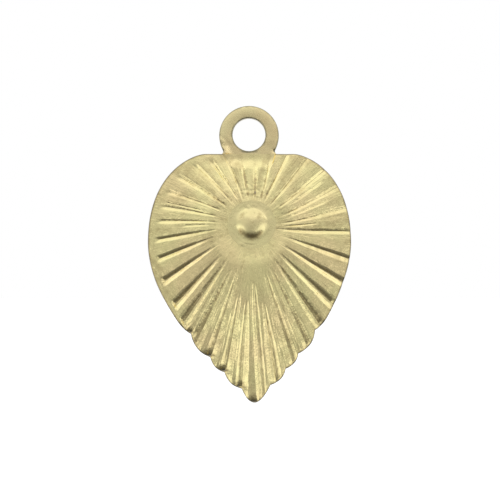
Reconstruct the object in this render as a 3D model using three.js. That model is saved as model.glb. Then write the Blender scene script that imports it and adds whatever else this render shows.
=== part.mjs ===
// A small struck-brass leaf charm: a fluted heart-shaped leaf, a domed boss and a hanging ring.
// Millimetres, +Z up. The charm hangs with its face towards -Y. The origin is the centre of the
// hanging hole, on the back plane. A height is measured from the back plane towards the face.
import * as THREE from 'three';

const { lerp, clamp, degToRad } = THREE.MathUtils;

// Brass blank
const sheetThickness = 0.6;

// Hanging ring
const holeRadius = 0.99;
const ringOuterRadius = 1.79;
const ringDrop = 0.07; // the ring's outside is struck this much lower than its hole
const ringEdgeRadius = 0.1; // rolled front edges of the ring
const rollShare = 0.3; // a rolled edge takes up no more than this share of the ring's band
const ringCrown = 0.05; // the ring's front swells this much above the blank
const neckWeb = 0.18; // metal between the hole and the leaf's top edge
const neckHalfWidth = 1.56;
const neckFlare = 0.07;
const neckBlend = degToRad(24); // turn over which the rolled edge and the swell fade to the neck

// Leaf outline, taken down from its top edge and out from its middle
const leafHeight = 14.93;
const leafHalfWidth = 6.1;
const leafOffset = 0.03; // the leaf's middle lies this far to the right of the hole
const widestDrop = 5.3; // from the top edge down to the widest point
const topHalfFlat = 2.67; // straight part of the top edge, each side of the middle
const shoulderHandle = 0.6; // pull of the curve along the top edge
const cheekHandle = 4.35; // pull of the curve up from the widest point
const flankHandle = 4.25; // pull of the curve down from the widest point
const tipHandle = 0.7; // pull of the curve out beside the tip
const tipHandleRise = 0.23; // and up from it
const tipShift = 0.31; // the tip lies this far to the right of the leaf's middle
const tipLean = 7.2; // height above the tip at which the lean to the right begins

// Scalloped lower edge: the heights above the tip at which the lobes meet, each side
const notchRises = [4.12, 2.7, 1.78, 0.79];
const notchSlip = 0.12; // they lie this much higher on the right, and lower on the left
const notchDepth = 0.22;
const firstLobeRun = 1.0; // the edge begins to swell this far above the first notch
const firstLobePull = 0.8; // pull of the swelling curve down the edge
const lobeBulge = 0.15; // swell of a lobe, as a share of the chord between its notches
const tipHalfWidth = 0.43;

// Centre boss
const bossOffset = 0.16; // to the right of the hole
const bossDrop = 4.24; // below the leaf's top edge
const collarRadius = 1.44;
const collarStep = 0.05; // the collar stands this much above the leaf round it
const collarFlat = 1.16; // its flat reaches this far out from the middle of the boss
const domeRadius = 0.92;
const domeHeight = 0.23;
const domeWall = 0.5;
const hollowRadius = 0.65; // hollow behind the dome
const domeFlatness = 2.4; // how flat the dome stays in the middle
const domeSoftness = 1.4; // and how softly it runs out at its edge

// Flutes: they all run from one hub, close to the middle of the boss
const hubOffset = 0.08;
const hubDrop = 4.27;
const grooveDepth = 0.22;
const grooveStart = 1.6; // from the hub to where the grooves begin
const grooveApron = 0.9; // straight below the boss they begin this much further out
const grooveRun = 4.4; // the grooves deepen over this distance
const grooveBackShare = 0.6; // share of a groove's depth that shows on the hollow back
const pillowSharpness = 3; // how flat the top of a flute stays before it falls to its grooves
// Each sector of the leaf, in degrees anticlockwise from the right: where it ends, and its flutes
const firstGroove = -3.6;
const fluteSectors = [
  [62.8, 5], [121.5, 5], [158, 3], [177.5, 2], [213.2, 3], [226.8, 1], [245.2, 2], [260.6, 2],
  [266.9, 1], [273.9, 1], [279.4, 1], [295, 2], [316, 2], [340.9, 2], [356.4, 1],
];
// Near the boss the flutes swing clockwise, most of all at one bearing
const fluteSwing = degToRad(2.6);
const swingRange = degToRad(3.8);
const swingBearing = degToRad(75);
const swingFade = 1.5; // how soon the swing dies away on the way out

// Relief of the leaf
const hubHeight = 1.16;
const crownHeight = 1.28;
const crownDistance = 2.5; // from the hub to the crest of the crown
const crownFall = 0.176; // steepest fall from the crown to the rim
const rimHeight = 0.63; // crests of the flutes at the rim
const flangeWidth = 0.1; // flat edge round the relief
const reliefShiftRight = 0.16; // the relief is struck off centre, so the flange shows on the left
const reliefShiftUp = 0.08;
const neckLanding = 0.18; // flat strip under the ring's neck
const leastFlange = 0.02;
const fluteEndRun = 0.45; // the flutes round off over this distance
const edgeRoll = 0.12; // how far an open flute's end falls towards the flange's height

// Fineness of the solids
const ringSides = 64; // bearings round the ring
const bossSides = 48;
const curveSteps = 24; // on each long curve of an outline
const domeSteps = 7;
const lobeSteps = 6;
const searchSteps = 40; // halvings in a search along a curve
const rollSteps = [0, 0.13, 0.5, 1]; // places across a rolled edge
const sharpTurn = degToRad(13); // an outline's turn that gets a bearing of its own
const closestBearings = degToRad(0.5);
const fluteSteps = [0, 0.09, 0.25, 0.5, 0.75, 0.91]; // places across a flute
const runSteps = [0, 0.07, 0.16, 0.27, 0.4, 0.54, 0.68, 0.82, 1]; // places along a flute
const endStep = 0.6; // one more place along its rounded end

// Places that follow from the sizes
const leafTop = -(holeRadius + neckWeb);
const leafTip = leafTop - leafHeight;
const widestZ = leafTop - widestDrop;
const hub = new THREE.Vector2(hubOffset, leafTop - hubDrop);
const bossCentre = new THREE.Vector2(bossOffset, leafTop - bossDrop);

function point2(x, z) {
  return new THREE.Vector2(x, z);
}

// Smooth half of the leaf's edge, without lobes: one curve above the widest point, one below
const upperEdge = new THREE.CubicBezierCurve(
  point2(topHalfFlat, leafTop),
  point2(topHalfFlat + shoulderHandle, leafTop),
  point2(leafHalfWidth, widestZ + cheekHandle),
  point2(leafHalfWidth, widestZ),
);
const lowerEdge = new THREE.CubicBezierCurve(
  point2(leafHalfWidth, widestZ),
  point2(leafHalfWidth, widestZ - flankHandle),
  point2(tipHandle, leafTip + tipHandleRise),
  point2(0, leafTip),
);

// Share of the way along the lower edge at which it passes a height
function edgeShareAt(z) {
  let low = 0;
  let high = 1;
  for (let step = 0; step < searchSteps; step++) {
    const middle = (low + high) / 2;
    if (lowerEdge.getPoint(middle).y > z) low = middle;
    else high = middle;
  }
  return (low + high) / 2;
}

// A round lobe from one notch to the next, swelling to the right of the way down
function lobe(from, to) {
  const chord = from.distanceTo(to);
  const along = to.clone().sub(from).normalize();
  const out = point2(-along.y, along.x);
  const points = [];
  for (let step = 1; step <= lobeSteps; step++) {
    const share = step / lobeSteps;
    const swell = 4 * lobeBulge * chord * share * (1 - share);
    points.push(from.clone().lerp(to, share).addScaledVector(out, swell));
  }
  return points;
}

// Half of the scalloped edge, from the top to the tip; its side is 1 on the right, -1 on the left
function halfEdge(side) {
  const notches = notchRises.map((rise) => {
    const share = edgeShareAt(leafTip + rise + side * notchSlip);
    const along = lowerEdge.getTangent(share);
    return lowerEdge.getPoint(share).addScaledVector(point2(along.y, -along.x), notchDepth);
  });
  const lobeStart = edgeShareAt(leafTip + notchRises[0] + side * notchSlip + firstLobeRun);
  const points = upperEdge.getPoints(curveSteps);
  for (let step = 1; step <= curveSteps; step++) {
    points.push(lowerEdge.getPoint((lobeStart * step) / curveSteps));
  }
  const start = lowerEdge.getPoint(lobeStart);
  const corner = start.clone().addScaledVector(lowerEdge.getTangent(lobeStart), firstLobePull);
  const firstLobe = new THREE.QuadraticBezierCurve(start, corner, notches[0]);
  points.push(...firstLobe.getPoints(lobeSteps).slice(1));
  for (let notch = 1; notch < notches.length; notch++) {
    points.push(...lobe(notches[notch - 1], notches[notch]));
  }
  const tip = point2(0, leafTip);
  const lastNotch = notches[notches.length - 1];
  const lastLobe = new THREE.QuadraticBezierCurve(lastNotch, point2(tipHalfWidth, leafTip), tip);
  points.push(...lastLobe.getPoints(lobeSteps).slice(1));
  return points.map((point) => leaned(point, side));
}

// The lower part of the leaf leans towards its tip
function leaned(point, side) {
  const lean = clamp((leafTip + tipLean - point.y) / tipLean, 0, 1);
  return point2(leafOffset + side * point.x + tipShift * lean, point.y);
}

function leafEdge() {
  return [...halfEdge(-1).slice(0, -1), ...halfEdge(1).reverse()];
}

// Outline of the ring with its neck: a round head on two straight sides that flare at the leaf
function ringEdge() {
  const sideAngle = Math.acos(neckHalfWidth / ringOuterRadius);
  const sideZ = -ringDrop - ringOuterRadius * Math.sin(sideAngle);
  const shape = new THREE.Path();
  shape.moveTo(neckHalfWidth + neckFlare, leafTop);
  shape.quadraticCurveTo(neckHalfWidth, leafTop, neckHalfWidth, (leafTop + sideZ) / 2);
  shape.lineTo(neckHalfWidth, sideZ);
  shape.absarc(0, -ringDrop, ringOuterRadius, -sideAngle, Math.PI + sideAngle, false);
  shape.lineTo(-neckHalfWidth, (leafTop + sideZ) / 2);
  shape.quadraticCurveTo(-neckHalfWidth, leafTop, -neckHalfWidth - neckFlare, leafTop);
  return shape.getPoints(curveSteps * 2);
}

function regularEdge(centre, radius, sides) {
  return Array.from({ length: sides }, (unused, side) => {
    const angle = (2 * Math.PI * side) / sides;
    return point2(centre.x + radius * Math.cos(angle), centre.y + radius * Math.sin(angle));
  });
}

// Distance from a point to a closed outline, along a bearing
function reach(from, bearing, edge) {
  const way = point2(Math.cos(bearing), Math.sin(bearing));
  let furthest = 0;
  edge.forEach((start, index) => {
    const side = edge[(index + 1) % edge.length].clone().sub(start);
    const offset = start.clone().sub(from);
    const turn = way.cross(side);
    if (turn === 0) return;
    const distance = offset.cross(side) / turn;
    const share = offset.cross(way) / turn;
    if (share >= -1e-9 && share <= 1 + 1e-9) furthest = Math.max(furthest, distance);
  });
  return furthest;
}

function bearingOf(point, from) {
  const turn = Math.atan2(point.y - from.y, point.x - from.x);
  return (turn + 2 * Math.PI) % (2 * Math.PI);
}

function turnBetween(one, other) {
  const turn = Math.abs(one - other) % (2 * Math.PI);
  return Math.min(turn, 2 * Math.PI - turn);
}

// Points of a closed outline at which it turns sharply
function cornersOf(edge) {
  return edge.filter((point, index) => {
    const before = edge[(index + edge.length - 1) % edge.length];
    const after = edge[(index + 1) % edge.length];
    return turnBetween(bearingOf(point, before), bearingOf(after, point)) > sharpTurn;
  });
}

// Bearings in order: the sharp ones stay, and even ones that nearly coincide with them go
function orderedBearings(even, sharp) {
  const clear = even.filter((angle) =>
    sharp.every((other) => turnBetween(angle, other) > closestBearings));
  return [...clear, ...sharp].sort((one, other) => one - other);
}

// A closed plate between two outlines, from rows of front and back points at each bearing
function plateGeometry(fronts, backs) {
  const rows = fronts.length;
  const stations = fronts[0].length;
  const positions = [...fronts, ...backs].flat().flatMap((point) => point.toArray());
  const front = (row, station) => (row % rows) * stations + station;
  const behind = (row, station) => rows * stations + front(row, station);
  const faces = [];
  const quad = (a, b, c, d) => faces.push(a, b, c, a, c, d);
  for (let row = 0; row < rows; row++) {
    for (let station = 0; station + 1 < stations; station++) {
      quad(front(row, station), front(row, station + 1),
        front(row + 1, station + 1), front(row + 1, station));
      quad(behind(row, station), behind(row + 1, station),
        behind(row + 1, station + 1), behind(row, station + 1));
    }
    const last = stations - 1;
    quad(front(row, last), behind(row, last), behind(row + 1, last), front(row + 1, last));
    quad(front(row, 0), front(row + 1, 0), behind(row + 1, 0), behind(row, 0));
  }
  const geometry = new THREE.BufferGeometry();
  geometry.setAttribute('position', new THREE.Float32BufferAttribute(positions, 3));
  geometry.setIndex(faces);
  return geometry;
}

// Point at a bearing and distance from a centre, at a height above the back plane
function raised(centre, bearing, distance, height) {
  return new THREE.Vector3(
    centre.x + distance * Math.cos(bearing),
    -height,
    centre.y + distance * Math.sin(bearing),
  );
}

// Bearings of the grooves, then one more turn to close the last flute
function grooveBearings() {
  const grooves = [firstGroove];
  fluteSectors.forEach(([end, flutes]) => {
    const start = grooves[grooves.length - 1];
    for (let flute = 1; flute <= flutes; flute++) {
      grooves.push(lerp(start, end, flute / flutes));
    }
  });
  return grooves.map(degToRad);
}

const grooves = grooveBearings();

// Height of a flute's section at a bearing: 0 in a groove and 1 along the crest
function fluteSection(bearing) {
  const turned = bearing >= grooves[grooves.length - 1] ? bearing - 2 * Math.PI : bearing;
  const next = Math.max(1, grooves.findIndex((groove) => groove > turned));
  const share = (turned - grooves[next - 1]) / (grooves[next] - grooves[next - 1]);
  return 1 - Math.abs(2 * share - 1) ** pillowSharpness;
}

function eased(share) {
  return (1 - Math.cos(Math.PI * clamp(share, 0, 1))) / 2;
}

// Height of the crests: a dimple round the boss, then a crown that falls evenly to the rim
function crestHeight(distance, collarDistance, reliefEnd) {
  const run = reliefEnd - crownDistance;
  const crown = Math.min(crownHeight, rimHeight + crownFall * run);
  if (distance < crownDistance) {
    const climb = (distance - collarDistance) / (crownDistance - collarDistance);
    return lerp(hubHeight, crown, eased(climb));
  }
  return lerp(crown, rimHeight, clamp((distance - crownDistance) / run, 0, 1));
}

// Bearing of a flute's line part of the way out: near the boss it swings off its bearing at the rim
function swungBearing(bearing, wayOut) {
  const swing = fluteSwing + swingRange * Math.cos(bearing - swingBearing);
  return bearing - swing * (1 - wayOut) ** swingFade;
}

// Depth of the grooves: they deepen outwards, and leave a plain apron below the boss
function grooveDepthAt(bearing, distance) {
  const start = grooveStart + grooveApron * Math.max(-Math.sin(bearing), 0) ** 2;
  return grooveDepth * clamp((distance - start) / grooveRun, 0, 1);
}

// Width of the flat edge at a bearing: none where the relief runs out through the rim
function flangeAt(bearing, rimPoint) {
  const shift = reliefShiftRight * Math.cos(bearing) + reliefShiftUp * Math.sin(bearing);
  const underNeck = rimPoint.z > leafTop - 1e-6 && Math.abs(rimPoint.x) < neckHalfWidth;
  return Math.max(flangeWidth - shift, underNeck ? neckLanding : 0);
}

function leafGeometry() {
  const rim = leafEdge();
  const collar = regularEdge(bossCentre, collarRadius, bossSides);
  const neckCorners = [-1, 1].map((side) => point2(side * (neckHalfWidth + neckFlare), leafTop));
  const sharp = [...cornersOf(rim), ...neckCorners].map((point) => bearingOf(point, hub));
  const even = [];
  for (let flute = 0; flute + 1 < grooves.length; flute++) {
    fluteSteps.forEach((share) => {
      const bearing = lerp(grooves[flute], grooves[flute + 1], share);
      even.push((bearing + 2 * Math.PI) % (2 * Math.PI));
    });
  }
  const fronts = [];
  const backs = [];
  orderedBearings(even, sharp).forEach((bearing) => {
    const inner = reach(hub, swungBearing(bearing, 0), collar);
    const outer = reach(hub, bearing, rim);
    const flange = flangeAt(bearing, raised(hub, bearing, outer, 0));
    const closed = clamp(flange / flangeWidth, 0, 1);
    const reliefEnd = outer - Math.max(flange, leastFlange);
    const endStart = reliefEnd - fluteEndRun;
    const distances = runSteps.map((share) => lerp(inner, endStart, share));
    distances.push(lerp(endStart, reliefEnd, endStep), reliefEnd, outer);
    const section = fluteSection(bearing);
    const front = [];
    const back = [];
    distances.forEach((distance) => {
      const crest = crestHeight(distance, inner, reliefEnd);
      const groove = grooveDepthAt(bearing, distance) * (1 - section);
      const settle = eased((distance - endStart) / fluteEndRun) * lerp(edgeRoll, 1, closed);
      const height = lerp(crest - groove, sheetThickness, settle);
      const under = lerp(crest - grooveBackShare * groove, sheetThickness, settle);
      const swung = swungBearing(bearing, (distance - inner) / (outer - inner));
      front.push(raised(hub, swung, distance, height));
      back.push(raised(hub, swung, distance, Math.max(under - sheetThickness, 0)));
    });
    fronts.push(front);
    backs.push(back);
  });
  return plateGeometry(fronts, backs);
}

// Ring and neck: flat behind, rolled over at the front edges, cut square where it meets the leaf
function ringGeometry() {
  const centre = point2(0, 0);
  const edge = ringEdge();
  const hole = regularEdge(centre, holeRadius, ringSides);
  const even = Array.from({ length: ringSides }, (unused, side) => (2 * Math.PI * side) / ringSides);
  const corners = [edge[0], edge[edge.length - 1]].map((point) => bearingOf(point, centre));
  const fronts = [];
  const backs = [];
  orderedBearings(even, corners).forEach((bearing) => {
    const inner = reach(centre, bearing, hole);
    const outer = reach(centre, bearing, edge);
    const atLeaf = bearing > corners[1] - 1e-6 && bearing < corners[0] + 1e-6;
    const band = outer - inner;
    const roll = Math.min(ringEdgeRadius, band * rollShare);
    const fromLeaf = atLeaf ? 0 : Math.min(...corners.map((corner) => turnBetween(bearing, corner)));
    const free = eased(fromLeaf / neckBlend);
    const outerRoll = roll * free;
    const front = [];
    rollSteps.forEach((share) => {
      const drop = roll * (1 - Math.sqrt(1 - (1 - share) ** 2));
      front.push([inner + roll * share, sheetThickness - drop]);
    });
    front.push([inner + band / 2, sheetThickness + ringCrown * free]);
    rollSteps.slice().reverse().forEach((share) => {
      const drop = outerRoll * (1 - Math.sqrt(1 - (1 - share) ** 2));
      front.push([outer - roll * share, sheetThickness - drop]);
    });
    fronts.push(front.map(([distance, height]) => raised(centre, bearing, distance, height)));
    backs.push(front.map(([distance]) => raised(centre, bearing, distance, 0)));
  });
  return plateGeometry(fronts, backs);
}

// Swell of the dome, or of the hollow behind it: 1 in the middle and 0 at its edge
function swellAt(share) {
  return (1 - share ** domeFlatness) ** domeSoftness;
}

// Dome and collar, drawn from the sheet and hollow behind
function bossGeometry() {
  const collarBack = hubHeight - sheetThickness;
  const collarTop = hubHeight + collarStep;
  const hollowDepth = collarTop + domeHeight - domeWall - collarBack;
  const profile = [];
  for (let step = 0; step <= domeSteps; step++) {
    const share = step / domeSteps;
    profile.push(point2(hollowRadius * share, collarBack + hollowDepth * swellAt(share)));
  }
  profile.push(point2(collarRadius, collarBack), point2(collarRadius, hubHeight));
  profile.push(point2(collarFlat, collarTop));
  for (let step = 0; step <= domeSteps; step++) {
    const share = 1 - step / domeSteps;
    profile.push(point2(domeRadius * share, collarTop + domeHeight * swellAt(share)));
  }
  const geometry = new THREE.LatheGeometry(profile, bossSides);
  geometry.rotateX(Math.PI);
  geometry.translate(bossCentre.x, 0, bossCentre.y);
  return geometry;
}

function brass(colour, roughness) {
  return new THREE.MeshStandardMaterial({ color: colour, roughness, metalness: 1 });
}

function piece(name, geometry, material) {
  const mesh = new THREE.Mesh(geometry, material);
  mesh.name = name;
  return mesh;
}

const charm = new THREE.Group();
charm.add(piece('leaf', leafGeometry(), brass(0xcfc68c, 0.36)));
charm.add(piece('centre_boss', bossGeometry(), brass(0xcfc68c, 0.32)));
charm.add(piece('hanging_ring', ringGeometry(), brass(0xcdb77d, 0.34)));

export default charm;
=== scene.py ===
import bpy
import numpy as np
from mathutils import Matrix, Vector, noise


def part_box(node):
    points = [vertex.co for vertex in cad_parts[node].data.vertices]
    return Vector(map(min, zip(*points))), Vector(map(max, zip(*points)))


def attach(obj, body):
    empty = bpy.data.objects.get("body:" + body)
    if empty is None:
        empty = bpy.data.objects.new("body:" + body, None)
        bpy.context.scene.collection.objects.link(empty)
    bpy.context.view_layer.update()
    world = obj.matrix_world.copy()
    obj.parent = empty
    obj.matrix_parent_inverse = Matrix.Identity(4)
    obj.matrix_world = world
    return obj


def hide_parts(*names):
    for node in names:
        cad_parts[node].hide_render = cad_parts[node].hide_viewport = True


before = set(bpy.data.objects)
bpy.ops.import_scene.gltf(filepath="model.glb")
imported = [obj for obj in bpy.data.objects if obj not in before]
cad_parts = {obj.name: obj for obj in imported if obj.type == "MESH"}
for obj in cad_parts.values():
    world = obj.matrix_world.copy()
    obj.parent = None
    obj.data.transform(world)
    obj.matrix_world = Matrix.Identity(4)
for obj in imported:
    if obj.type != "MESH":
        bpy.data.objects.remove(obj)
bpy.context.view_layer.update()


# Leaf
# The real leaf is struck between two dies from one sheet of raw brass: pillowed flutes run out from the
# boss, over a shallow crown, to the trimmed edge. The strike sits a little to the right, so a flat
# flange shows on the left, and on the right the trim cuts through the open ends of the flutes.
mm = 0.001
leaf_low, leaf_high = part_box("leaf")
leaf_top = leaf_high.z / mm
leaf_tip = leaf_low.z / mm
sheet = 0.6
leaf_half_width = 6.1
leaf_offset = 0.03
widest = leaf_top - 5.3
top_half_flat = 2.67
shoulder_pull = 0.6
cheek_pull = 4.35
flank_pull = 4.25
tip_pull = 0.7
tip_shift = 0.31
tip_lean = 7.2
notch_rises = (4.12, 2.7, 1.78, 0.79)
notch_slip = 0.12
notch_depth = 0.22
first_lobe_run = 1.0
first_lobe_pull = 0.8
lobe_bulge = 0.15
tip_half_width = 0.43
neck_half_width = 1.56
neck_flare = 0.07
small_share = 0.001

boss_centre = np.array([0.16, leaf_top - 4.24])
collar_radius = 1.44
hub = np.array([0.08, leaf_top - 4.27])

hub_height = 1.16
crown_height = 1.28
crown_distance = 2.5
crown_fall = 0.176
rim_height = 0.63
top_rim_lift = 0.06
top_lift_start = 1.6
top_lift_run = 2.5

flange_width = 0.1
least_flange = 0.02
lower_flange_loss = 0.35
flange_foot = 4
flange_foot_run = 1.5
relief_shift = np.array([0.16, 0.08])
neck_landing = 0.18
flute_end_bow = 0.1
flute_end_run = 0.45
lower_end_run = 0.3
top_end_run = 0.3
edge_roll = 0.12
rim_round = 0.05
sharp_edge_turn = np.radians(40)

pillow_sag = 0.045
groove_slope = 0.43
groove_start_width = 0.03
groove_spread = 0.06
valley_width = 0.08
least_groove = 0.01
widest_groove = 0.25
groove_back_share = 0.6
floor_share = 0.62
inner_width = 0.06
lip_height = 0.012
lip_width = 0.042
pit_width = 0.15
upper_fade = 0.4
early_start = 0.8
crease_width = 0.09

# One row for each groove: bearing at the edge and its swing near the boss in degrees, the distance
# from the boss where it starts, how hard the die bit there, and how deep its outer end is.
grooves = np.array((
    (-3.6, -4.9, 1.75, 1.0, 0), (9.9, -7.9, 2.0, 0.8, 0), (23.6, -8.6, 2.0, 0.9, 0),
    (36.4, -5.9, 1.9, 0.9, 0), (49.4, -4.4, 1.65, 0.7, 0), (62.8, -2.3, 1.55, 0.8, 0),
    (74.0, -7.0, 1.5, 0.7, 0), (86.2, -6.0, 1.5, 0.75, 0), (97.7, -3.5, 1.5, 0.85, 0),
    (109.6, -5.5, 1.5, 0.9, 0), (121.5, -6.5, 1.6, 0.9, 0), (132.9, -4.9, 1.6, 0.8, 0),
    (145.9, -4.9, 1.75, 0.9, 0), (158.0, -5.0, 1.9, 0.8, 0), (168.2, -3.4, 2.1, 0.9, 0),
    (177.6, -3.6, 2.3, 1.0, 0), (189.0, -1.0, 2.4, 1.0, 0.1), (200.3, -2.3, 2.6, 1.0, 0.3),
    (213.2, -2.6, 2.7, 1.1, 0.6), (226.8, -0.8, 2.8, 1.1, 0.8), (235.6, 0.3, 2.8, 1.1, 1.0),
    (245.2, 1.6, 3.0, 1.0, 1.0), (253.6, 1.6, 3.0, 1.0, 1.0), (260.6, 1.4, 4.2, 1.0, 1.0),
    (266.9, 0.8, 4.4, 0.9, 0.8), (273.9, -0.8, 3.4, 0.9, 0.4), (279.4, 0.6, 4.6, 1.0, 0.9),
    (287.2, -0.2, 3.0, 1.0, 1.0), (295.0, 0.8, 2.9, 1.0, 1.0), (304.9, 0.0, 2.8, 1.1, 0.9),
    (316.0, -0.5, 2.8, 1.05, 0.8), (328.2, -0.5, 2.7, 1.05, 0.6), (340.9, 0.2, 2.6, 1.05, 0.4),
    (356.4, -4.9, 1.75, 1.0, 0),
))

# Fine creases that the die left between the grooves: bearing, start, share of the way out, depth.
creases = (
    (3.5, 1.9, 0.6, 0.04), (18.5, 2.2, 0.85, 0.04), (31.5, 2.8, 0.9, 0.04), (165.2, 2.6, 0.9, 0.04),
    (181.5, 2.3, 0.6, 0.04), (240.8, 4.2, 0.85, 0.03), (248.9, 4.8, 0.8, 0.03), (257.6, 5.0, 0.92, 0.03),
    (263.8, 5.2, 0.9, 0.02), (283.4, 4.8, 0.93, 0.02), (291.2, 5.4, 0.93, 0.03),
)


def unit(values):
    """Values held between 0 and 1."""
    return np.clip(values, 0, 1)


def eased(share):
    """A share between 0 and 1 that starts and ends softly."""
    return (1 - np.cos(np.pi * unit(share))) / 2


def bezier(start, start_pull, end_pull, end, shares):
    t = np.asarray(shares)[:, None]
    return (
        (1 - t) ** 3 * start + 3 * (1 - t) ** 2 * t * start_pull
        + 3 * (1 - t) * t**2 * end_pull + t**3 * end
    )


def lower_edge(shares):
    return bezier(
        np.array([leaf_half_width, widest]), np.array([leaf_half_width, widest - flank_pull]),
        np.array([tip_pull, leaf_tip + tip_pull / 3]), np.array([0.0, leaf_tip]), shares,
    )


def share_at(height):
    """Share of the way down the lower edge at a height."""
    shares = np.linspace(0, 1, 4001)
    return float(np.interp(-height, -lower_edge(shares)[:, 1], shares))


def soft_corner(start, corner, end, steps):
    t = np.linspace(0, 1, steps + 1)[1:, None]
    return (1 - t) ** 2 * start + 2 * (1 - t) * t * corner + t**2 * end


def notch_points(side):
    """Notches of the lower edge, on the right where side is 1 and on the left where it is -1."""
    notches = []
    for notch_rise in notch_rises:
        at_notch = share_at(leaf_tip + notch_rise + side * notch_slip)
        before, at, after = lower_edge([at_notch - small_share, at_notch, at_notch + small_share])
        along = (after - before) / np.linalg.norm(after - before)
        notches.append(at + notch_depth * np.array([along[1], -along[0]]))
    return notches


def placed(points, side):
    """Points of one half, turned to their side and shifted as the whole tip is."""
    points = np.array(points)
    lean = unit((leaf_tip + tip_lean - points[:, 1]) / tip_lean)
    return np.column_stack([leaf_offset + side * points[:, 0] + tip_shift * lean, points[:, 1]])


def half_edge(side):
    """Scalloped edge from the top to the tip: side is 1 on the right and -1 on the left."""
    notches = notch_points(side)
    lobe_start = share_at(leaf_tip + notch_rises[0] + side * notch_slip + first_lobe_run)
    upper = bezier(
        np.array([top_half_flat, leaf_top]), np.array([top_half_flat + shoulder_pull, leaf_top]),
        np.array([leaf_half_width, widest + cheek_pull]), np.array([leaf_half_width, widest]),
        np.linspace(0, 1, 61),
    )
    points = [upper, lower_edge(np.linspace(0, lobe_start, 61)[1:])]
    start, near = lower_edge([lobe_start, lobe_start - small_share])
    along = (start - near) / np.linalg.norm(start - near)
    points.append(soft_corner(start, start + along * first_lobe_run * first_lobe_pull, notches[0], 12))
    for one, other in zip(notches, notches[1:]):
        chord = other - one
        way = np.linspace(0, 1, 13)[1:, None]
        out = np.array([-chord[1], chord[0]])
        points.append(one + chord * way + out * 4 * lobe_bulge * way * (1 - way))
    tip = np.array([0.0, leaf_tip])
    points.append(soft_corner(notches[-1], np.array([tip_half_width, leaf_tip]), tip, 12))
    return placed(np.vstack(points), side)


def reach(centre, bearings, edge):
    """Distance from a centre to a closed outline along each bearing."""
    way = np.column_stack([np.cos(bearings), np.sin(bearings)])[:, None, :]
    side = (np.roll(edge, -1, axis=0) - edge)[None]
    offset = (edge - centre)[None]
    turn = way[..., 0] * side[..., 1] - way[..., 1] * side[..., 0]
    turn = np.where(np.abs(turn) < 1e-12, np.nan, turn)
    distance = (offset[..., 0] * side[..., 1] - offset[..., 1] * side[..., 0]) / turn
    share = (offset[..., 0] * way[..., 1] - offset[..., 1] * way[..., 0]) / turn
    hit = (share >= -1e-9) & (share <= 1 + 1e-9) & (distance > 0)
    return np.nanmax(np.where(hit, distance, 0), axis=1)


def bearings_of(points, centre):
    offset = points - centre
    return np.arctan2(offset[:, 1], offset[:, 0]) % (2 * np.pi)


def sharp_points(edge, least_turn):
    """Points of a closed outline where it turns by more than a least angle."""
    into = edge - np.roll(edge, 1, axis=0)
    out = np.roll(edge, -1, axis=0) - edge
    turn = np.arctan2(into[:, 0] * out[:, 1] - into[:, 1] * out[:, 0], (into * out).sum(axis=1))
    return edge[np.abs(turn) > least_turn]


def turn_between(one, other):
    """Size of the turn from one bearing to another, the shorter way round."""
    return np.abs((one - other + np.pi) % (2 * np.pi) - np.pi)


def clear_of(angles, others, least):
    """The angles that are more than a least turn from all the others."""
    return angles[turn_between(angles[:, None], others).min(axis=1) > least]


def plate(name, front, back, marks, back_step=1):
    """A closed plate from front and back points, row by row round a centre, with its named marks.

    The front takes all stations of a row and the back takes each one in back_step, with less soil and
    painted shade.
    """
    rows, stations, _ = front.shape
    kept = np.append(np.arange(0, stations - 1, back_step), stations - 1)
    index = np.arange(rows * stations).reshape(rows, stations)
    behind = np.arange(rows * len(kept)).reshape(rows, len(kept)) + rows * stations

    def strip(a, b):
        return np.stack([a, b, np.roll(b, -1, axis=0), np.roll(a, -1, axis=0)], axis=-1).reshape(-1, 4)

    faces = np.vstack([
        strip(index[:, :-1], index[:, 1:]),
        strip(behind[:, 1:], behind[:, :-1]),
        strip(index[:, -1], behind[:, -1]),
        strip(behind[:, 0], index[:, 0]),
    ])
    mesh = bpy.data.meshes.new(name)
    places = np.vstack([front.reshape(-1, 3), back[:, kept].reshape(-1, 3)]) * mm
    mesh.from_pydata(places.tolist(), [], faces.tolist())
    mesh.shade_smooth()
    mesh.set_sharp_from_angle(angle=sharp_edge_turn)
    soil_and_shade_behind = 0.4
    for mark, values in marks.items():
        is_vector = values.ndim == 3
        layer = mesh.attributes.new(mark, "FLOAT_VECTOR" if is_vector else "FLOAT", "POINT")
        behind_share = 1 if is_vector else soil_and_shade_behind
        both = np.concatenate([values.ravel(), behind_share * values[:, kept].ravel()])
        layer.data.foreach_set("vector" if is_vector else "value", both.astype(np.float32))
    made = bpy.data.objects.new(name, mesh)
    bpy.context.scene.collection.objects.link(made)
    return made


# Bearings of the rows of points: across each flute, closer at the creases, and one at each sharp point.
across_flute = np.array([
    0, 0.015, 0.032, 0.05, 0.07, 0.09, 0.11, 0.13, 0.155, 0.185, 0.22, 0.27, 0.34, 0.42, 0.5,
    0.58, 0.66, 0.73, 0.78, 0.815, 0.845, 0.87, 0.89, 0.91, 0.93, 0.95, 0.968, 0.985,
])
beside_crease = np.radians([-1.2, -0.7, -0.35, 0, 0.35, 0.7, 1.2])
least_corner = np.radians(6)
least_row_turn = np.radians(0.1)
leaf_rim = np.vstack([half_edge(-1)[:-1], half_edge(1)[::-1]])
edge_bearings = np.radians(grooves[:, 0])
even = (edge_bearings[:-1, None] + across_flute * np.diff(edge_bearings)[:, None]).ravel()
fine = (np.radians([row[0] for row in creases])[:, None] + beside_crease).ravel()
neck_corners = np.array([[side * (neck_half_width + neck_flare), leaf_top] for side in (-1, 1)])
sharp = bearings_of(np.vstack([sharp_points(leaf_rim, least_corner), neck_corners]), hub)
bearings = np.concatenate([fine, sharp]) % (2 * np.pi)
bearings = np.concatenate([clear_of(even % (2 * np.pi), bearings, least_row_turn), bearings])
bearings = np.unique(np.round(bearings, 6))
over_top = np.maximum(np.sin(bearings), 0)
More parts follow.
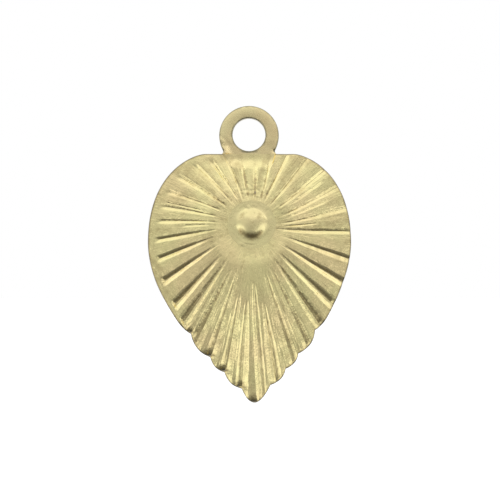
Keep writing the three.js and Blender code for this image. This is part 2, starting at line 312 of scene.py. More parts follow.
lower_share = np.maximum(-np.sin(bearings), 0)

# Which flute each row lies in, how far across it, and how much it swings near the boss.
turned = np.where(bearings >= edge_bearings[-1], bearings - 2 * np.pi, bearings)
flute = np.clip(np.searchsorted(edge_bearings, turned, side="right") - 1, 0, len(grooves) - 2)
share = (turned - edge_bearings[flute]) / (edge_bearings[flute + 1] - edge_bearings[flute])
swings = np.radians(grooves[:, 1])
swing = swings[flute] * (1 - share) + swings[flute + 1] * share

# Stations along each row: from the collar to the flute's end, down that end, and over the flange.
run_shares = np.linspace(0, 1, 60) ** 0.9
end_shares = np.linspace(0, 1, 11)[1:]
lip_shares = np.array([0.15, 0.35, 0.55, 0.72, 0.85, 0.94, 1])
circle = np.linspace(0, 2 * np.pi, 240, endpoint=False)
collar_edge = boss_centre + collar_radius * np.column_stack([np.cos(circle), np.sin(circle)])
inner = reach(hub, bearings + swing, collar_edge)
outer = reach(hub, bearings, leaf_rim)
rim_point = hub + outer[:, None] * np.column_stack([np.cos(bearings), np.sin(bearings)])
flange = flange_width - relief_shift[0] * np.cos(bearings) - relief_shift[1] * np.sin(bearings)
under_neck = (rim_point[:, 1] > leaf_top - 1e-4) & (np.abs(rim_point[:, 0]) < neck_half_width)
above_foot = eased((rim_point[:, 1] - leaf_tip - flange_foot) / flange_foot_run)
flange = flange * (1 - lower_flange_loss * lower_share) * above_foot
flange = np.maximum(flange, np.where(under_neck, neck_landing, 0))
closed = unit(flange / flange_width)
relief_end = outer - np.maximum(flange, least_flange) - flute_end_bow * closed * (2 * share - 1) ** 4
end_run = flute_end_run - lower_end_run * lower_share + top_end_run * over_top
end_start = relief_end - end_run
run = inner[:, None] + (end_start - inner)[:, None] * run_shares
ends = end_start[:, None] + (relief_end - end_start)[:, None] * end_shares
lip = relief_end[:, None] + (outer - relief_end)[:, None] * lip_shares
distance = np.hstack([run, ends, lip])
way_out = (distance - inner[:, None]) / (outer - inner)[:, None]
bend = unit(1 - way_out) ** 1.5
angle = bearings[:, None] + swing[:, None] * bend
leaf_x = hub[0] + distance * np.cos(angle)
leaf_z = hub[1] + distance * np.sin(angle)


def rough_field(scale, layer):
    """Soft random values between about -1 and 1 over the leaf.

    The scale is in waves to a millimetre, and each layer is a pattern of its own.
    """
    return np.array([
        noise.noise(Vector((x * scale, z * scale, layer))) for x, z in zip(leaf_x.ravel(), leaf_z.ravel())
    ]).reshape(leaf_x.shape)


def streak_field(sharpness, layer):
    """Random values that run out along the flutes, narrower as the sharpness grows."""
    along_waves = 0.35
    return np.array([
        noise.noise(Vector((sharpness * np.cos(a), sharpness * np.sin(a), layer + along_waves * d)))
        for a, d in zip(angle.ravel(), distance.ravel())
    ]).reshape(angle.shape)


# Soil and painted shade in the grooves have ragged edges. In the upper grooves the painted shade is a thin
# line and a wedge near the boss.
ragged = np.clip(0.8 + 0.8 * rough_field(1.7, 3) + 0.6 * rough_field(5, 4), 0.1, 1.5)
valley_shade = 1.2
pit_soil = 1.2
line_width = 0.05
wedge_width = 0.11
wedge_length = 2.2
wedge_shade = 1.45


def groove_cut(number, gap, side):
    """Depth, and soil with painted shade, of a groove at a gap from its floor.

    Side is 1 on its flank of growing bearings, which faces down on the right of the leaf, and -1 on
    its other flank. The flank that faces down is painted darker, as shade.
    """
    bearing, _, start, bite, pit = grooves[number].T[:, :, None]
    bearing = np.radians(bearing)
    level = np.abs(np.cos(bearing)) ** 1.5
    upper = unit(np.sin(bearing) * 2 + 0.4)
    early = early_start * (1 - upper) * unit(1.5 * level)
    past = distance - start + early
    end = pit * eased((way_out - 0.5) / 0.45)

    # Half its width: a valley below, a wider start above, and a pit where its outer end is open.
    half = groove_start_width + valley_width * (1 - level) * (1 - 0.75 * upper) * eased(past / 0.4)
    half = half + inner_width * upper * eased(past / 0.2) * np.exp(-np.maximum(past, 0) / 0.8)
    half = half + groove_spread * (1 - 0.3 * upper) * past
    widest_here = widest_groove - 0.08 * np.maximum(upper, level)
    half = np.clip(half, least_groove, widest_here) + pit_width * end

    # Its depth, the shape of its flank, and the lip that the die pushed up beside it.
    floor = floor_share * (1 - level)
    fade = 1 - upper * upper_fade * unit((way_out - 0.6) / 0.4)
    slope = groove_slope * (1 - 0.2 * upper - 0.16 * level)
    deep = bite * slope * half * (1 - floor) * unit(past / (0.3 + 1.6 * early)) * fade
    climb = unit((gap / half - floor) / (1 - floor))
    shape = 1 - (climb + climb * climb * (3 - 2 * climb)) / 2
    from_lip = (gap - half - 0.7 * lip_width) / lip_width
    lip = lip_height * (1.4 - 0.6 * level) * unit(deep / 0.04) * np.exp(-(from_lip**2))

    # Its soil and painted shade: soil in the outer ends beside and in the pits, painted darker on the flank
    # that faces down;
    # painted shade in the valleys below, and above as a line and a wedge near the boss.
    upright = np.maximum(np.sin(bearing), 0)
    shaded = np.clip(0.55 + 0.9 * side * np.cos(bearing) + 0.5 * upright**2, 0.15, 1)
    soiled_and_shaded = unit(2.2 * level) * (1 - upper) * unit((way_out - 0.65 + 0.35 * level) / 0.2)
    low = unit(-1.5 * np.sin(bearing) - 0.5) * unit(past)
    soiled_and_shaded = np.maximum(soiled_and_shaded, valley_shade * low * ragged)
    soiled_and_shaded = shaded * unit(1.8 * shape) * unit(soiled_and_shaded + pit_soil * end * ragged)
    line = upper * ragged * unit(1.2 - gap / line_width) * unit(past / 0.2)
    wedge = upper * ragged * unit(1.3 - gap / wedge_width) * unit(past / 0.3)
    wedge = wedge * unit(wedge_length - past)
    return deep * shape - lip * ragged, np.maximum(soiled_and_shaded, shaded * np.maximum(line, wedge_shade * wedge))


# The grooves on both sides of each flute, painted shade near the rim at the lower left, and the sag of each
# pillow from its ridge, which lies past the middle in the upper flutes.
rim_shade_turn = np.radians(40)
span = np.diff(edge_bearings)[flute][:, None] + np.diff(swings)[flute][:, None] * bend
left_cut, left_soil_and_shade = groove_cut(flute, share[:, None] * span * distance, 1)
right_cut, right_soil_and_shade = groove_cut(flute + 1, (1 - share)[:, None] * span * distance, -1)
cut = left_cut + right_cut
soil_and_shade = np.maximum(left_soil_and_shade, right_soil_and_shade)
lower_left_rim_shade = unit(0.5 - np.sin(bearings + rim_shade_turn))[:, None] * unit((way_out - 0.8) / 0.15)
soil_and_shade = np.maximum(soil_and_shade, lower_left_rim_shade * np.clip(0.1 + 1.5 * rough_field(1.1, 9), 0, 0.8))
flute_start = (grooves[flute, 2] * (1 - share) + grooves[flute + 1, 2] * share)[:, None]
flute_start = flute_start - early_start * (np.cos(bearings) ** 2)[:, None]
ridge = 0.5 + 0.2 * over_top
fall_off = np.where(share < ridge, (ridge - share) / ridge, (share - ridge) / (1 - ridge))
sag = pillow_sag * (1 + 1.5 * over_top + 0.4 * lower_share)
sink = (sag * fall_off**2)[:, None] * span * distance * unit((distance - flute_start) / 1.5)
for bearing, begin, last, deep in creases:
    gap = turn_between(bearings, np.radians(bearing))[:, None] * distance
    grow = unit((distance - begin) / 0.6) * unit((last - way_out) / 0.08)
    cut = cut + deep * grow * (1 - unit(gap / crease_width))
    cut = cut - 0.6 * lip_height * grow * ragged * np.exp(-((gap - crease_width) / lip_width) ** 2)
groove = cut + sink

# The crown that the flutes ride over, the flange that closes them, and the rounded rim.
flange_clean = 0.7
rising = (distance - inner[:, None]) / (crown_distance - inner[:, None])
falling = unit((distance - crown_distance) / (outer[:, None] - crown_distance))
crown = np.minimum(crown_height, rim_height + (outer[:, None] - crown_distance) * crown_fall)
crest = np.where(
    distance < crown_distance,
    hub_height + (crown - hub_height) * np.where(crown > hub_height, eased(rising), rising),
    crown + (rim_height - crown) * falling,
)
crest = crest + top_rim_lift * (over_top**3)[:, None] * unit((distance - top_lift_start) / top_lift_run)
settle = eased((distance - end_start[:, None]) / end_run[:, None])
groove = groove * (1 - settle * (edge_roll + (1 - edge_roll) * closed)[:, None])
soil_and_shade = soil_and_shade * (1 - flange_clean * settle * closed[:, None])
front_height = crest - groove
front_height = front_height + (sheet - front_height) * settle * under_neck[:, None]
back_height = np.maximum(crest - groove_back_share * groove - sheet, 0)
from_rim = unit(1 - (outer[:, None] - distance) / rim_round)
front_height = front_height - rim_round * (1 - np.sqrt(1 - from_rim**2)) * (1 - under_neck[:, None])

# The unevenness of a struck sheet: soft waves, chatter near the boss, and streaks along the flutes.
wave_height = 0.014
ripple_height = 0.007
chatter_height = 0.036
chatter_reach = 2.9
streak_height = 0.01
fine_streak_height = 0.008
top_streak_height = 0.009
most_tint = 0.65
lower_tint_loss = 0.35
chatter = unit(chatter_reach - distance) * (0.3 + 0.7 * over_top)[:, None] * rough_field(5.5, 7)
tint = np.clip(0.3 + 0.9 * streak_field(7, 12) + 0.6 * rough_field(0.9, 14), 0, most_tint)
tint = tint * (1 - lower_tint_loss * lower_share)[:, None]
soil_and_shade = np.maximum(soil_and_shade, tint)
unevenness = wave_height * rough_field(0.8, 0) + ripple_height * rough_field(2.6, 5)
unevenness = unevenness + chatter_height * chatter
fine_streaks = (fine_streak_height + top_streak_height * over_top)[:, None] * streak_field(17, 8)
streaks = streak_height * streak_field(8, 2) + fine_streaks
unevenness = unevenness + streaks * unit(distance / 4)
fades = unit((distance - inner[:, None]) / 0.5) * unit((outer[:, None] - distance) / 0.3)
front_height = front_height + unevenness * fades

# Dark falls where the lobes and the tip roll over, with soil and painted shade in them: side, shift from
# each notch or from the tip, width, strength, and those points.
lobe_fall = 0.12
fall_reach = 0.55
fall_shade_and_soil = 2.1
lobe_falls = (
    (-1, (-0.12, 0.14), 0.38, 1.15, notch_points(-1)),
    (1, (0.45, 0.22), 0.24, 0.7, notch_points(1)),
    (1, (-0.05, 0.1), 0.34, 1, [[0.0, leaf_tip]]),
)
fall_patches = np.clip(1 + rough_field(4, 11), 0.3, 1.2)
for side, shift, width, strength, points in lobe_falls:
    for point in placed(points, side):
        off_x = (leaf_x - point[0] - shift[0]) / width
        above_edge = (leaf_z - point[1] - shift[1]) / fall_reach
        falls = np.where(above_edge > 0, unit(1 - above_edge) ** 2, eased(1 + 2.5 * above_edge))
        falls = strength * falls * np.exp(-(off_x**2))
        front_height = front_height - lobe_fall * falls
        soil_and_shade = np.maximum(soil_and_shade, fall_shade_and_soil * falls * fall_patches)
# The whole rim, except under the neck, is darker.
rim_dark_width = 0.09
rim_darkening = 2.3
on_rim = unit(1.3 - (outer[:, None] - distance) / rim_dark_width) * (1 - under_neck[:, None])
soil_and_shade = np.maximum(soil_and_shade, rim_darkening * on_rim)

# The grain mark holds waves across the flutes and far fewer along them.
grain_across = 5
grain_along = 0.14
grain = np.stack([
    grain_across * np.cos(angle), grain_across * np.sin(angle), grain_along * distance,
], axis=-1)
front = np.stack([leaf_x, -front_height, leaf_z], axis=-1)
back = np.stack([leaf_x, -back_height, leaf_z], axis=-1)
leaf = plate("charm_leaf", front, back, {"soil_and_shade": soil_and_shade, "grain": grain}, back_step=4)


def feed(tree, slot, value):
    """Link a node's output to a slot, or set the slot's own value."""
    if isinstance(value, bpy.types.NodeSocket):
        tree.links.new(value, slot)
    else:
        slot.default_value = value


def node(tree, kind, **inputs):
    """A new node with its inputs, whose names have a low line for each space."""
    made = tree.nodes.new(kind)
    for key, value in inputs.items():
        feed(tree, made.inputs[key.replace("_", " ")], value)
    return made


def joined(tree, operation, one, other=0.0):
    """The outcome of a calculation with one or two values."""
    made = tree.nodes.new("ShaderNodeMath")
    made.operation = operation
    feed(tree, made.inputs[0], one)
    feed(tree, made.inputs[1], other)
    return made.outputs[0]


def blend(tree, amount, one, other):
    """One colour, gone over to the other by an amount."""
    made = tree.nodes.new("ShaderNodeMix")
    made.data_type = "RGBA"
    for number, value in ((0, amount), (6, one), (7, other)):
        feed(tree, made.inputs[number], value)
    return made.outputs[2]


# Scales of the brass in waves to a metre, except for the streaks, which follow the grain mark.
tone_scale = 420
speck_scale = 6500
cloud_scale = 3500
fine_bump_scale = 9000
fine_bump_share = 0.5
coarse_bump_scale = 1700
streak_scale = 9
streak_share = 0.9
finish_scale = 2600
finish_spread = 0.06
bump_distance = 0.000035
dark_soil_and_shade = (0.2, 0.185, 0.14)


def brass(name, pale, warm, soil_and_shade, shine, grain_depth):
    """Raw brass: patches of a paler and a warmer tone, specks, marked soil and painted shade, and the grain
    of the die.
    """
    made = bpy.data.materials.new(name)
    made.use_nodes = True
    tree = made.node_tree
    shader = tree.nodes["Principled BSDF"]
    shader.inputs["Metallic"].default_value = 1.0
    place = node(tree, "ShaderNodeTexCoord").outputs["Object"]

    def mottle(scale, detail, where=place):
        return node(tree, "ShaderNodeTexNoise", Vector=where, Scale=scale, Detail=detail).outputs["Fac"]

    def levels(value, low, high, to_low=0.0, to_high=1.0):
        return node(tree, "ShaderNodeMapRange", Value=value, From_Min=low, From_Max=high,
                    To_Min=to_low, To_Max=to_high).outputs["Result"]

    def mark(label):
        made_mark = node(tree, "ShaderNodeAttribute")
        made_mark.attribute_name = label
        return made_mark

    cloudy = levels(mottle(cloud_scale, 3), 0.3, 0.7, -0.25, 0.25)
    dirt_and_shade = joined(tree, "ADD", mark("soil_and_shade").outputs["Fac"], cloudy)
    colour = blend(tree, levels(mottle(tone_scale, 3), 0.38, 0.62), pale + (1,), warm + (1,))
    colour = blend(tree, levels(mottle(speck_scale, 2), 0.62, 0.78, 0, 0.3), colour, soil_and_shade + (1,))
    colour = blend(tree, levels(dirt_and_shade, 0.35, 1.2, 0, 0.92), colour, soil_and_shade + (1,))
    colour = blend(tree, levels(dirt_and_shade, 1.4, 2.1, 0, 0.85), colour, dark_soil_and_shade + (1,))
    tree.links.new(colour, shader.inputs["Base Color"])

    finish = levels(mottle(finish_scale, 4), 0.3, 0.7, shine - finish_spread, shine + finish_spread)
    tree.links.new(finish, shader.inputs["Roughness"])

    bumps = joined(tree, "MULTIPLY", mottle(fine_bump_scale, 3), fine_bump_share)
    bumps = joined(tree, "ADD", bumps, mottle(coarse_bump_scale, 2))
    streaked = mottle(streak_scale, 3, mark("grain").outputs["Vector"])
    bumps = joined(tree, "ADD", bumps, joined(tree, "MULTIPLY", streaked, streak_share))
    bump = node(tree, "ShaderNodeBump", Height=bumps, Distance=bump_distance, Strength=grain_depth)
    tree.links.new(bump.outputs["Normal"], shader.inputs["Normal"])
    return made


leaf_pale = (0.88, 0.79, 0.39)
leaf_warm = (0.9, 0.75, 0.39)
leaf_soil_and_shade = (0.52, 0.42, 0.2)
leaf.data.materials.append(
    brass("leaf_brass", leaf_pale, leaf_warm, leaf_soil_and_shade, shine=0.22, grain_depth=0.7)
)
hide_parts("leaf")
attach(leaf, "root")


# Centre boss
# The real boss is drawn up from the same sheet as the leaf: a small dome on a low round collar. A painted
# highlight runs down its top, painted shade lies in a crescent below the dome, and it is hollow behind.
collar_step = 0.05
dome_height = 0.22
dome_wall = 0.5
collar_back = hub_height - sheet
hollow_radius = 0.75
hollow_top = hub_height + collar_step + dome_height - dome_wall
apex_rise = 0.2
apex_fade = 1.0
dome_twist = 0.09
twist_reach = 0.95
foot_roughness = 0.02
foot_waves = 5.5
foot_start = 0.75
ledge_height = 0.02
ledge_radius = 1.17
ledge_bearing = np.radians(246)
above_turn = np.radians(8)

# Height of the boss above the leaf at each distance from its middle: straight below it, low and high
# beside it, and above it.
boss_profile = np.array((
    (0, 0.27, 0.27, 0.27, 0.27), (0.15, 0.266, 0.266, 0.266, 0.246), (0.3, 0.256, 0.256, 0.25, 0.202),
    (0.45, 0.238, 0.236, 0.222, 0.155), (0.58, 0.205, 0.192, 0.186, 0.118),
    (0.7, 0.138, 0.128, 0.146, 0.088), (0.82, 0.046, 0.064, 0.102, 0.058),
    (0.92, -0.006, 0.022, 0.066, 0.034), (1.0, -0.02, 0.006, 0.042, 0.018),
    (1.12, -0.016, 0, 0.016, 0.008), (1.22, -0.009, 0, 0.004, 0.003), (1.32, -0.003, 0, 0, 0),
    (1.44, 0, 0, 0, 0),
))

# Small knocks and bumps on the collar: place across and up from its middle, size and rise.
boss_marks = ((-0.57, -1.15, 0.13, 0.03), (-0.38, 0.98, 0.12, -0.03), (-0.2, 1.05, 0.1, 0.02))

boss_turns = np.linspace(0, 2 * np.pi, 120, endpoint=False)
upward = np.maximum(np.sin(boss_turns + above_turn), 0)[:, None]
downward = np.maximum(-np.sin(boss_turns), 0)[:, None]
ring_radii = np.linspace(0, collar_radius, 49)


def smoothed(values):
    """A row of values, each evened out with the three on either side."""
    padded = np.concatenate([2 * values[0] - values[3:0:-1], values, 2 * values[-1] - values[-2:-5:-1]])
    return np.convolve(padded, np.array([1, 2, 3, 4, 3, 2, 1]) / 16, mode="valid")


boss_lines = [smoothed(np.interp(ring_radii, boss_profile[:, 0], line)) for line in boss_profile[:, 1:].T]
below, low_beside, high_beside, above = boss_lines
turned_down = eased((0.3 - np.sin(boss_turns)[:, None]) / 1.1)
beside = low_beside * turned_down + high_beside * (1 - turned_down)
share_below = eased(downward / 0.85)
boss_height = below * share_below + above * upward**4 + beside * (1 - share_below - upward**4)
boss_height = hub_height + boss_height[:, 1:]

# The uneven foot above, the twist of the dome, the ledge at the lower left, and the knocks.
boss_radius = np.ones_like(upward) * ring_radii[1:]
across = boss_radius * np.cos(boss_turns)[:, None]
rise = boss_radius * np.sin(boss_turns)[:, None]
foot_noise = np.array([
    noise.noise(Vector((foot_waves * r * np.cos(turn), foot_waves * r * np.sin(turn), 3)))
    for turn in boss_turns for r in ring_radii[1:]
]).reshape(boss_height.shape)
foot = foot_roughness * foot_noise * upward * unit((boss_radius - foot_start) / 0.4)
boss_height = boss_height + foot * unit((collar_radius - boss_radius) / 0.1)
boss_height = boss_height + dome_twist * across * rise * unit(1 - (boss_radius / twist_reach) ** 2)
lower_left = eased((np.cos(boss_turns - ledge_bearing)[:, None] - 0.7) / 0.25)
ledge = ledge_height * lower_left * eased((ledge_radius + 0.05 - boss_radius) / 0.1)
boss_height = boss_height + ledge * eased((boss_radius - 0.85) / 0.2)
lean_up = apex_rise * unit(1 - (boss_radius / apex_fade) ** 2)
for mark_x, mark_z, size, mark_rise in boss_marks:
    near = (across - mark_x) ** 2 + (rise - mark_z) ** 2
    boss_height = boss_height + mark_rise * np.exp(-near / size**2)


def shell_rings(centre, turns, radius, height):
    return np.stack([
        centre[0] + radius * np.cos(turns)[:, None], -height, centre[1] + radius * np.sin(turns)[:, None],
    ], axis=-1)


def capped_shell(name, front, front_top, back, back_top):
    """A closed round shell: front and back rows of rings, each drawn together at its middle point."""
    rows = front.shape[0]
    wide, deep = front.shape[1], back.shape[1]
    index = np.arange(rows * wide).reshape(rows, wide)
    behind = np.arange(rows * deep).reshape(rows, deep) + rows * wide
    top = rows * (wide + deep)
    faces = []
    for row in range(rows):
        after = (row + 1) % rows
        faces.append((top, index[row, 0], index[after, 0]))
        faces.append((top + 1, behind[after, 0], behind[row, 0]))
        for ring in range(wide - 1):
            here, there = index[row, ring:ring + 2], index[after, ring:ring + 2]
            faces.append((here[0], here[1], there[1], there[0]))
        for ring in range(deep - 1):
            here, there = behind[row, ring:ring + 2], behind[after, ring:ring + 2]
            faces.append((there[0], there[1], here[1], here[0]))
        faces.append((index[row, -1], behind[row, -1], behind[after, -1], index[after, -1]))
    places = np.vstack([front.reshape(-1, 3), back.reshape(-1, 3), [front_top, back_top]]) * mm
    mesh = bpy.data.meshes.new(name)
    mesh.from_pydata(places.tolist(), [], [tuple(int(corner) for corner in face) for face in faces])
    mesh.shade_smooth()
    mesh.set_sharp_from_angle(angle=sharp_edge_turn)
    made = bpy.data.objects.new(name, mesh)
    bpy.context.scene.collection.objects.link(made)
    return made


bowl = np.linspace(0, np.pi / 2, 17)[1:]
bowl_radius = np.append(hollow_radius * np.sin(bowl), collar_radius) * np.ones_like(upward)
bowl_height = np.append(collar_back + (hollow_top - collar_back) * np.cos(bowl), collar_back)
bowl_height = bowl_height * np.ones_like(upward)
boss = capped_shell(
    "charm_boss",
    shell_rings((boss_centre[0], boss_centre[1] + lean_up), boss_turns, boss_radius, boss_height),
    (boss_centre[0], -(hub_height + below[0]), boss_centre[1] + apex_rise),
    shell_rings(boss_centre, boss_turns, bowl_radius, bowl_height),
    (boss_centre[0], -hollow_top, boss_centre[1]),
)

# Painted shade: a dark crescent below the dome, and a thin darkening on both sides of a strip down its
# upper half, which leaves that strip as a painted highlight.
crescent_shade = 1.15
crescent_bearing = np.radians(262)
crescent_radius = 0.78
crescent_width = 0.19
strip_side_shade = 0.66
strip_x = -0.02
strip_half_width = 0.1
lower_side = eased((np.cos(boss_turns - crescent_bearing)[:, None] - 0.2) / 0.5)
in_crescent = np.exp(-(((boss_radius - crescent_radius) / crescent_width) ** 2)) * lower_side
beside_strip = eased((np.abs(across - strip_x) - strip_half_width) / 0.4) * eased((rise + 0.05) / 0.35)
beside_strip = beside_strip * eased((1 - boss_radius) / 0.2)
boss_shade = np.zeros(len(boss.data.vertices), dtype=np.float32)
boss_shade[:in_crescent.size] = np.maximum(crescent_shade * in_crescent, strip_side_shade * beside_strip).ravel()
boss.data.attributes.new("soil_and_shade", "FLOAT", "POINT").data.foreach_set("value", boss_shade)

boss_pale = (0.88, 0.79, 0.4)
boss_warm = (0.89, 0.76, 0.4)
boss_shade_colour = (0.36, 0.27, 0.12)
boss.data.materials.append(
    brass("boss_brass", boss_pale, boss_warm, boss_shade_colour, shine=0.29, grain_depth=0.5)
)
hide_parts("centre_boss")
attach(boss, "root")


# Hanging ring
# The real ring is part of the same blank: a flat ring with its front edges rolled over, on a short neck.
# Its face is smoother and warmer in tone than the leaf, because the die doesn't mark it.
hole_radius = 0.99
ring_radius = 1.79
ring_drop = 0.07
ring_round = 0.06
ring_swell = 0.05
neck_blend = np.radians(24)
side_turn = np.arccos(neck_half_width / ring_radius)
side_z = -ring_drop - ring_radius * np.sin(side_turn)
head = np.linspace(-side_turn, np.pi + side_turn, 121)
neck_middle = (leaf_top + side_z) / 2
flare = soft_corner(
    np.array([neck_half_width + neck_flare, leaf_top]), np.array([neck_half_width, leaf_top]),
    np.array([neck_half_width, neck_middle]), 6,
)
right_side = np.vstack([[[neck_half_width + neck_flare, leaf_top]], flare])
ring_edge = np.vstack([
    right_side,
    np.column_stack([ring_radius * np.cos(head), -ring_drop + ring_radius * np.sin(head)]),
    (right_side * [-1, 1])[::-1],
])
hole_centre = np.zeros(2)
neck_bearings = bearings_of(ring_edge[[0, -1]], hole_centre)
ring_turns = np.linspace(0, 2 * np.pi, 180, endpoint=False)
ring_turns = clear_of(ring_turns, neck_bearings, np.radians(0.5))
ring_turns = np.sort(np.concatenate([ring_turns, neck_bearings]))
ring_inner = np.full(len(ring_turns), hole_radius)
ring_outer = reach(hole_centre, ring_turns, ring_edge)
band = ring_outer - ring_inner
at_leaf = (ring_turns > neck_bearings[1] - 1e-6) & (ring_turns < neck_bearings[0] + 1e-6)
from_leaf = turn_between(ring_turns[:, None], neck_bearings).min(axis=1)
free = eased(np.where(at_leaf, 0, from_leaf) / neck_blend)
roll = np.minimum(ring_round, band / 3)
rolled = 1 - np.cos(np.linspace(0, np.pi / 2, 9))
drop = 1 - np.sqrt(1 - (1 - rolled) ** 2)
face = np.linspace(0, 1, 9)[1:-1]
ring_distance = np.hstack([
    ring_inner[:, None] + roll[:, None] * rolled,
    (ring_inner + roll)[:, None] + (band - 2 * roll)[:, None] * face,
    ring_outer[:, None] - roll[:, None] * rolled[::-1],
])
from_hole = ring_distance - ring_inner[:, None]
swell = ring_swell * free[:, None] * (1 - (2 * from_hole / band[:, None] - 1) ** 2)
ring_height = sheet + swell - np.hstack([
    roll[:, None] * drop,
    np.zeros((len(ring_turns), len(face))),
    (roll * free)[:, None] * drop[::-1],
])
ring_x = ring_distance * np.cos(ring_turns)[:, None]
ring_z = ring_distance * np.sin(ring_turns)[:, None]


def knock(x, z, size):
    """A round knock in the ring's face, from 0 to 1, at a place from the middle of the hole."""
    return np.exp(-((ring_x - x) ** 2 + (ring_z - z) ** 2) / size**2)


# A patch filed down at the lower left, a dent at the right end of the neck and a nick at its left end.
filed_start = 1.06
filed_depth = 0.5
dent_depth = 0.1
nick_depth = 0.05
filed = np.clip(-0.9 * ring_x - 0.4 * ring_z - filed_start, 0, 0.65) ** 2 * eased(-ring_z / 0.8)
dent = knock(1.5, -1.0, 0.09)
nick = knock(-1.53, -0.95, 0.08)
ring_height = ring_height - filed_depth * filed
ring_height = ring_height - dent_depth * dent - nick_depth * nick

# Darker along the rolled edges and in the knocks, with painted shade just below the hole and thinly beside
# it.
edge_darkening = 1.5
edge_darkening_width = 0.07
hole_shade_z = -1.05
hole_shade_height = 0.1
most_ring_darkening = 1.9
from_edge = np.minimum(from_hole, ring_outer[:, None] - ring_distance)
from_edge = np.where(at_leaf[:, None], from_hole, from_edge)
shade_below_hole = np.exp(-(((ring_z - hole_shade_z) / hole_shade_height) ** 2))
shade_below_hole = shade_below_hole * np.clip(1.25 - ring_distance, 0, 0.15) / 0.15
ring_darkening_and_shade = edge_darkening * np.exp(-((from_edge / edge_darkening_width) ** 2)) + dent + 0.6 * nick
ring_darkening_and_shade = ring_darkening_and_shade + 0.8 * shade_below_hole
shade_beside_hole = 0.3 * np.clip(1.4 - ring_distance, 0, 0.4) / 0.4 * np.abs(np.cos(ring_turns))[:, None]
ring_darkening_and_shade = np.clip(ring_darkening_and_shade + shade_beside_hole, 0, most_ring_darkening)

ring_grain = 2
ring = plate(
    "charm_ring",
    shell_rings(hole_centre, ring_turns, ring_distance, ring_height),
    shell_rings(hole_centre, ring_turns, ring_distance, np.zeros(ring_height.shape)),
    {"soil_and_shade": ring_darkening_and_shade, "grain": np.stack([ring_grain * ring_x, ring_grain * ring_z, 0 * ring_x], axis=-1)},
)
ring_pale = (0.89, 0.78, 0.42)
ring_warm = (0.83, 0.67, 0.36)
ring_dark_and_shade_colour = (0.3, 0.27, 0.16)
ring.data.materials.append(
    brass("ring_brass", ring_pale, ring_warm, ring_dark_and_shade_colour, shine=0.28, grain_depth=0.35)
)
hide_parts("hanging_ring")
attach(ring, "root")


# Studio
# The charm hangs before a white ground, in the soft light of a tent: bright above, plain beside,
# darker below and on the camera's side. White cards stand on both sides, high and low.
photo_width = 500
photo_mm = 0.06
hole_pixel = (249.0, 134.5)
frame_middle = (
    (photo_width / 2 - hole_pixel[0]) * photo_mm, (hole_pixel[1] - photo_width / 2) * photo_mm,
)
camera = bpy.data.cameras.new("camera")
camera.lens = 100
camera.sensor_width = 36
camera.clip_start = 0.005
camera.clip_end = 10
eye = bpy.data.objects.new("camera", camera)
bpy.context.scene.collection.objects.link(eye)
bpy.context.scene.camera = eye
stand_off = photo_width * photo_mm / camera.sensor_width * camera.lens
eye.location = (frame_middle[0] * mm, -(stand_off + sheet) * mm, frame_middle[1] * mm)
eye.rotation_euler = (np.pi / 2, 0, 0)

world = bpy.data.worlds.new("tent")
bpy.context.scene.world = world
world.use_nodes = True
tent_tree = world.node_tree
ground = tent_tree.nodes["Background"]
way = node(tent_tree, "ShaderNodeTexCoord").outputs["Generated"]
axes = node(tent_tree, "ShaderNodeSeparateXYZ", Vector=way)
way_x = axes.outputs["X"]
way_y = axes.outputs["Y"]
way_z = axes.outputs["Z"]

# Light of the tent from straight below, at -1, to straight above, at 1.
stops = (
    (-1.0, 0.17), (-0.8, 0.18), (-0.66, 0.25), (-0.5, 0.34), (-0.2, 0.44), (-0.08, 0.56), (0.02, 0.67),
    (0.2, 0.63), (0.27, 0.63), (0.36, 0.49), (0.45, 0.47), (0.55, 0.72), (0.65, 0.98), (0.8, 1.22),
    (1.0, 1.25),
)
up_share = node(tent_tree, "ShaderNodeMapRange", Value=way_z, From_Min=-1).outputs[0]
tent = node(tent_tree, "ShaderNodeValToRGB", Fac=up_share)
for number, (stop, light) in enumerate(stops):
    element = tent.color_ramp.elements[number] if number < 2 else tent.color_ramp.elements.new(0.5)
    element.position = (stop + 1) / 2
    element.color = (light, light, light, 1)


def product(*values):
    """All the values, multiplied."""
    result = values[0]
    for value in values[1:]:
        result = joined(tent_tree, "MULTIPLY", result, value)
    return result


def ramp(value, ends):
    """A soft step from 0, where a value is at the first end, to 1 at the second."""
    made = node(tent_tree, "ShaderNodeMapRange", Value=value, From_Min=ends[0], From_Max=ends[1])
    made.interpolation_type = "SMOOTHSTEP"
    return made.outputs[0]


# White cards on both sides, below the charm's level and above it, and a weaker fill that reaches further
# in below. All that is low ends above a dark gap straight below.
cards_lean = -0.6
fill_light = 0.5
to_sides = joined(tent_tree, "ABSOLUTE", way_x)
above_gap = ramp(way_z, (-0.68, -0.42))
leaning = joined(tent_tree, "MAXIMUM", product(way_z, cards_lean), 0)
low_cards = ramp(joined(tent_tree, "ADD", to_sides, leaning), (0.45, 0.8))
low_cards = product(low_cards, product(above_gap, ramp(way_z, (-0.02, -0.16))))
high_cards = product(ramp(way_z, (0.12, 0.3)), ramp(to_sides, (0.48, 0.7)))
fill = product(ramp(to_sides, (0.12, 0.32)), ramp(way_z, (-0.08, -0.3)), fill_light, above_gap)
cards = joined(tent_tree, "MAXIMUM", joined(tent_tree, "MAXIMUM", low_cards, high_cards), fill)

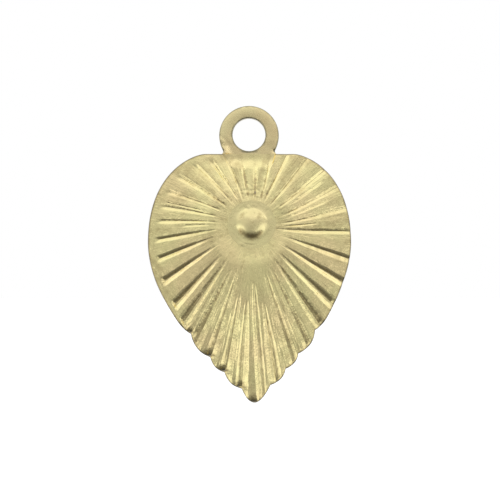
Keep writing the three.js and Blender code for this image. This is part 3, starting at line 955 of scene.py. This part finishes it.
# A darker band at the charm's level on both sides, and a faint shade over its middle.
band_dark = 0.36
shade_dark = 0.2
side_band = product(
    ramp(way_z, (-0.14, -0.04)), ramp(way_z, (0.26, 0.14)), ramp(to_sides, (0.34, 0.48)), band_dark,
)
top_shade = product(
    ramp(way_z, (0.14, 0.26)), ramp(way_z, (0.6, 0.46)), ramp(to_sides, (0.24, 0.08)), shade_dark,
)
darker = joined(tent_tree, "ADD", side_band, top_shade)

dark_cloth = (0.12, 0.12, 0.12, 1)
card_white = (1.3, 1.3, 1.3, 1)
ground_white = (1, 1, 1, 1)
walls = blend(tent_tree, darker, tent.outputs[0], dark_cloth)
walls = blend(tent_tree, cards, walls, card_white)
rays = node(tent_tree, "ShaderNodeLightPath")
glossy = joined(tent_tree, "ADD", rays.outputs["Is Glossy Ray"], rays.outputs["Is Transmission Ray"])
past_the_charm = product(glossy, product(ramp(way_y, (-0.4, 0.2)), above_gap))
white_ground = joined(tent_tree, "MAXIMUM", rays.outputs["Is Camera Ray"], past_the_charm)
tent_tree.links.new(blend(tent_tree, white_ground, walls, ground_white), ground.inputs["Color"])

# A sheet of white paper lies below the picture. The charm doesn't mirror it.
floor_gap = 2
floor_half = 400
paper_white = 0.9
paper_glow = 0.2
floor_level = frame_middle[1] - photo_width * photo_mm / 2 - floor_gap
floor_mesh = bpy.data.meshes.new("floor")
corner = floor_half * mm
floor_z = floor_level * mm
floor_mesh.from_pydata(
    [(x * corner, y * corner, floor_z) for x, y in ((-1, -1), (1, -1), (1, 1), (-1, 1))],
    [], [(0, 1, 2, 3)],
)
floor = bpy.data.objects.new("floor", floor_mesh)
bpy.context.scene.collection.objects.link(floor)
paper = bpy.data.materials.new("paper")
paper.use_nodes = True
paper_tree = paper.node_tree
paper_shader = paper_tree.nodes["Principled BSDF"]
paper_shader.inputs["Base Color"].default_value = (paper_white, paper_white, paper_white, 1)
paper_shader.inputs["Roughness"].default_value = 1
paper_shader.inputs["Emission Color"].default_value = (1, 1, 1, 1)
paper_rays = node(paper_tree, "ShaderNodeLightPath")
glow = joined(paper_tree, "MULTIPLY", paper_rays.outputs["Is Camera Ray"], paper_glow)
paper_tree.links.new(glow, paper_shader.inputs["Emission Strength"])
floor_mesh.materials.append(paper)
floor.visible_glossy = False

bpy.context.scene.view_settings.view_transform = "Standard"
